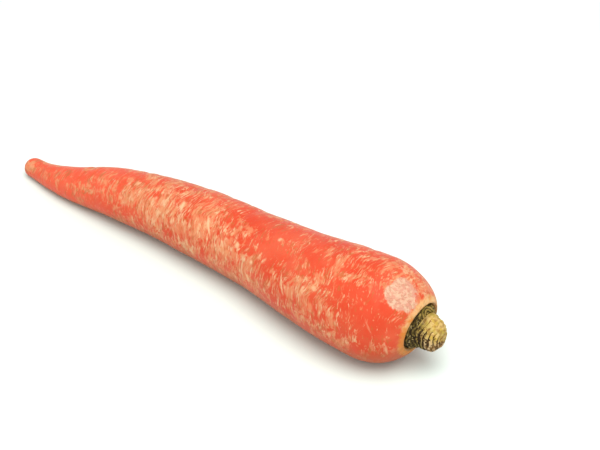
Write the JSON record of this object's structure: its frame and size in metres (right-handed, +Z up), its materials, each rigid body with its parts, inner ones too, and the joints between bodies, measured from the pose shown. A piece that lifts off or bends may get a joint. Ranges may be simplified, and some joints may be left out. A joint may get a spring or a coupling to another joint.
{
  "type": "carrot",
  "caption": "Topped red-orange carrot lying on its side: a blunt-tipped tapering root with a dark collar of old leaf bases and a short ringed stem stub.",
  "frame": {"origin": "middle of the part's box at the bottom, on the surface that the carrot lies on", "axes": "+X along the root from its tip to its crown, +Z up"},
  "size_m": [0.2506, 0.0466, 0.0449],
  "materials": {
    "root_skin": "moist satin skin, red-orange with pale tan cross streaks",
    "leaf_base_skin": "dry, dark olive-brown and fibrous",
    "stub_skin": "dry, pale straw to ochre with brown grooves"
  },
  "bodies": {
    "root": {"taproot": "root_skin", "leaf_base_collar": "leaf_base_skin", "stem_stub": "stub_skin"}
  },
  "joints": []
}
